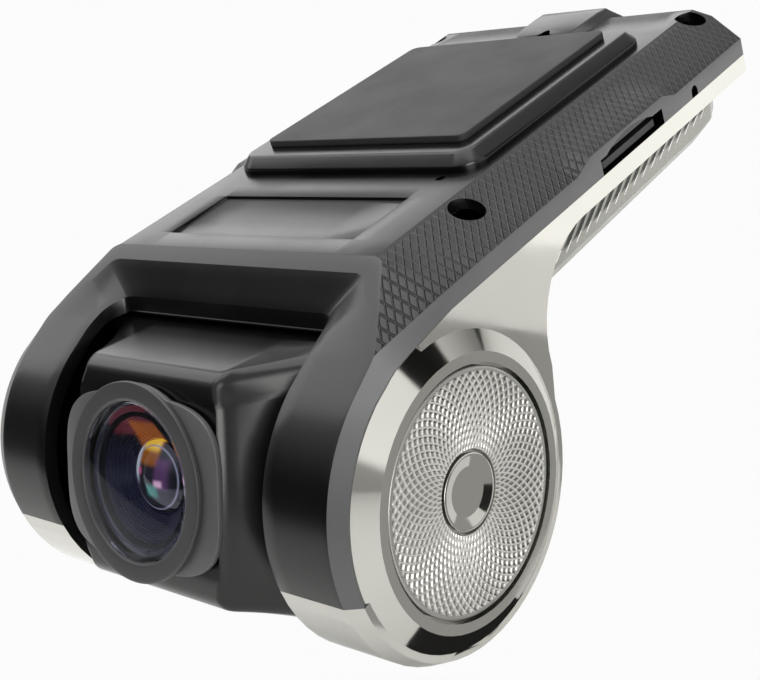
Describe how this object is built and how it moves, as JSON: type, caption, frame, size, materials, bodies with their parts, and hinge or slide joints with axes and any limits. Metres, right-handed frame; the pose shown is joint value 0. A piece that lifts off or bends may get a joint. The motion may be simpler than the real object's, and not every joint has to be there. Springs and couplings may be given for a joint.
{
  "type": "dash camera",
  "caption": "Windscreen dash camera: flat deck with an adhesive pad on top and a tilting lens drum held between two round cheeks.",
  "frame": {"origin": "middle of the adhesive pad's upper face, which presses on the glass", "axes": "+Z out of the pad, -Y the way the lens looks, +X the side of the card slot"},
  "size_m": [0.052, 0.0885, 0.0387],
  "materials": {
    "black_matt": "fine satin moulding grain",
    "black_gloss": "satin black, smoother than the shells",
    "bright_plate": "bright metal plating on moulded plastic",
    "pewter_plate": "satin metal plating on moulded plastic",
    "pad_foam": "matt foam tape",
    "circuit_board": "solder mask",
    "chip_black": "moulded epoxy",
    "bright_steel": "satin",
    "black_rubber": "matt",
    "lens_glass": "coated optical glass",
    "ribbon_amber": "flexible printed circuit",
    "ivory_plastic": "satin"
  },
  "bodies": {
    "housing": {"upper_shell": "black_matt", "lower_shell": "bright_plate", "belly_cover": "pewter_plate", "mount_bracket": "black_matt", "adhesive_pad": "pad_foam", "dial_insert_right": "pewter_plate", "dial_insert_left": "pewter_plate", "hub_cap_right": "bright_plate", "hub_cap_left": "bright_plate", "friction_ring_right": "black_rubber", "friction_ring_left": "black_rubber", "main_board": "circuit_board", "card_socket": "bright_steel", "processor_chip": "chip_black", "thermal_pad": "ivory_plastic", "heat_sink": "bright_steel", "memory_chip": "chip_black", "power_inductor": "chip_black", "capacitor_right": "bright_steel", "capacitor_left": "bright_steel", "cable_header": "ivory_plastic", "ribbon_connector": "ivory_plastic", "flex_ribbon": "ribbon_amber", "microphone": "bright_steel", "reset_switch": "bright_steel", "cable_grommet": "black_rubber", "shell_screw_front_right": "bright_steel", "shell_screw_rear_right": "bright_steel", "shell_screw_front_left": "bright_steel", "shell_screw_rear_left": "bright_steel", "board_screw_front": "bright_steel", "board_screw_rear": "bright_steel"},
    "lens_module": {"module_front_shell": "black_matt", "module_rear_shell": "black_matt", "face_plate": "black_gloss", "lens_bezel": "black_gloss", "front_glass": "lens_glass", "lens_barrel": "black_matt", "retaining_ring": "black_gloss", "middle_lens": "lens_glass", "rear_lens": "lens_glass", "lens_holder": "black_matt", "image_sensor": "chip_black", "ir_filter": "lens_glass", "sensor_board": "circuit_board", "sensor_connector": "ivory_plastic", "pivot_pin_right": "bright_steel", "pivot_pin_left": "bright_steel", "module_screw_right": "bright_steel", "module_screw_left": "bright_steel"},
    "micro_sd_card": {"micro_sd_card": "chip_black"},
    "reset_plunger": {"reset_plunger": "ivory_plastic"}
  },
  "joints": [
    {"name": "lens_tilt", "type": "hinge", "parent": "housing", "child": "lens_module", "pos_m": [0, -0.03965, -0.02284], "axis": [1, 0, 0], "range_deg": [-8, 50]},
    {"name": "card_slide", "type": "slide", "parent": "housing", "child": "micro_sd_card", "axis": [1, 0, 0], "range_m": [0, 0.016]},
    {"name": "reset_press", "type": "slide", "parent": "housing", "child": "reset_plunger", "axis": [-1, 0, 0], "range_m": [0, 0.00025], "stiffness_N_per_m": 800}
  ]
}
